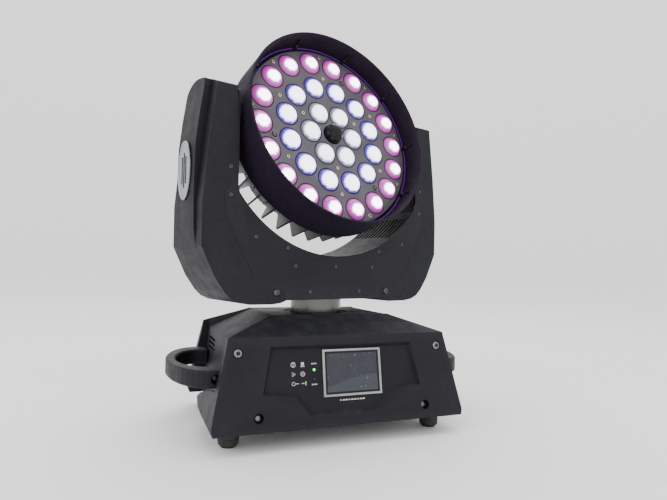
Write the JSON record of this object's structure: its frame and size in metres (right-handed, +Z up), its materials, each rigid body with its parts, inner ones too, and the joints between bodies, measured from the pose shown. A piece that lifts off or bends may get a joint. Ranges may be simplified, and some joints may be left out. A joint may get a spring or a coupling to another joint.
{
  "type": "moving head wash light",
  "caption": "Moving head wash light: a finned head with domed lenses in a deep round hood tilts in a U yoke, which pans on a sloped base with a touch display and carry handles.",
  "frame": {"origin": "centre of the base's underside, on the pan axis", "axes": "+Z up along the pan axis, -Y towards the display side of the base, +X to the right of someone who faces the display"},
  "size_m": [0.415, 0.258, 0.5524],
  "materials": {
    "black_plastic": "fine moulded texture",
    "black_metal": "powder coated, satin",
    "bare_steel": "turned and polished",
    "aluminium": "satin",
    "dark_aluminium": "black anodised",
    "rubber": "matte",
    "belt_rubber": "matte",
    "board_green": "solder mask",
    "frame_grey": "satin",
    "display_black": "glossy touch panel",
    "badge_silver": "satin plate",
    "lens_clear": "clear moulded acrylic"
  },
  "bodies": {
    "base": {"base_chassis": "black_metal", "base_front_cover": "black_plastic", "base_rear_cover": "black_plastic", "base_middle_cover": "black_plastic", "rear_panel": "black_metal", "handle_left": "black_plastic", "handle_right": "black_plastic", "foot_front_left": "rubber", "foot_front_right": "rubber", "foot_rear_left": "rubber", "foot_rear_right": "rubber", "display_frame": "frame_grey", "display_glass": "display_black", "control_board": "board_green", "power_supply": "aluminium", "mains_inlet": "black_plastic", "mains_outlet": "black_plastic", "fuse_holder": "black_plastic", "dmx_socket_in": "black_metal", "dmx_socket_out": "black_metal", "pan_motor": "black_metal", "pan_belt": "belt_rubber", "pan_bearing": "black_metal", "pan_bridge": "black_metal"},
    "yoke": {"pan_tube": "bare_steel", "pan_pulley": "aluminium", "yoke_floor": "black_metal", "yoke_frame": "black_metal", "yoke_front_plate": "black_metal", "yoke_rear_plate": "black_metal", "yoke_trough": "black_metal", "arm_cover_left": "black_plastic", "arm_cover_right": "black_plastic", "arm_badge_left": "badge_silver", "arm_badge_right": "badge_silver", "tilt_motor": "black_metal", "tilt_belt": "belt_rubber", "tilt_bearing_left": "aluminium", "tilt_bearing_right": "aluminium"},
    "head": {"tilt_shaft_left": "bare_steel", "tilt_shaft_right": "bare_steel", "tilt_pulley": "aluminium", "head_bracket_left": "black_metal", "head_bracket_right": "black_metal", "head_hood": "black_plastic", "heat_sink": "dark_aluminium", "head_rear_cover": "black_plastic", "led_board": "board_green", "fan_frame": "black_plastic", "zoom_motor": "black_metal", "centre_post": "black_plastic"},
    "zoom_carriage": {"lens_panel": "dark_aluminium", "lens_array": "lens_clear"},
    "zoom_screw_a": {"zoom_screw_1": "bare_steel"},
    "zoom_screw_b": {"zoom_screw_2": "bare_steel"},
    "zoom_screw_c": {"zoom_screw_3": "bare_steel"},
    "fan": {"fan_rotor": "black_plastic"},
    "pan_drive_wheel": {"pan_motor_pulley": "aluminium"},
    "tilt_drive_wheel": {"tilt_motor_pulley": "aluminium"},
    "latch": {"dmx_latch": "bare_steel"}
  },
  "joints": [
    {"name": "pan", "type": "hinge", "parent": "base", "child": "yoke", "pos_m": [0, 0, 0.14], "axis": [0, 0, 1], "range_deg": [-284.7, 255.3]},
    {"name": "tilt", "type": "hinge", "parent": "yoke", "child": "head", "pos_m": [0, 0, 0.3723], "axis": [0.9673, 0.2538, 0], "range_deg": [-208, 62]},
    {"name": "zoom", "type": "slide", "parent": "head", "child": "zoom_carriage", "axis": [0.2431, -0.9265, 0.2874], "range_m": [-0.013, 0.008]},
    {"name": "zoom_screw_a_turn", "type": "hinge", "parent": "head", "child": "zoom_screw_a", "pos_m": [0.03226, 0.01101, 0.46752], "axis": [0.2431, -0.9265, 0.2874], "continuous": true},
    {"name": "zoom_screw_b_turn", "type": "hinge", "parent": "head", "child": "zoom_screw_b", "pos_m": [-0.08616, -0.05226, 0.36367], "axis": [0.2431, -0.9265, 0.2874], "continuous": true},
    {"name": "zoom_screw_c_turn", "type": "hinge", "parent": "head", "child": "zoom_screw_c", "pos_m": [0.07212, -0.02823, 0.30726], "axis": [0.2431, -0.9265, 0.2874], "continuous": true},
    {"name": "fan_turn", "type": "hinge", "parent": "head", "child": "fan", "pos_m": [-0.02102, 0.08014, 0.34744], "axis": [0.2431, -0.9265, 0.2874], "continuous": true},
    {"name": "pan_drive", "type": "hinge", "parent": "base", "child": "pan_drive_wheel", "pos_m": [0.095, 0, 0.0675], "axis": [0, 0, 1], "continuous": true},
    {"name": "tilt_drive", "type": "hinge", "parent": "yoke", "child": "tilt_drive_wheel", "pos_m": [-0.16444, -0.04314, 0.215], "axis": [0.9673, 0.2538, 0], "continuous": true},
    {"name": "latch_press", "type": "slide", "parent": "base", "child": "latch", "axis": [0, 0.1816, -0.9834], "range_m": [0, 0.0015], "stiffness_N_per_m": 300}
  ],
  "couplings": [
    {"joint": "pan_drive", "follows": "pan", "ratio": 5.3333},
    {"joint": "tilt_drive", "follows": "tilt", "ratio": 4.4444},
    {"joint": "zoom_screw_a_turn", "follows": "zoom", "rad_per_m": 785.4},
    {"joint": "zoom_screw_b_turn", "follows": "zoom", "rad_per_m": 785.4},
    {"joint": "zoom_screw_c_turn", "follows": "zoom", "rad_per_m": 785.4}
  ]
}
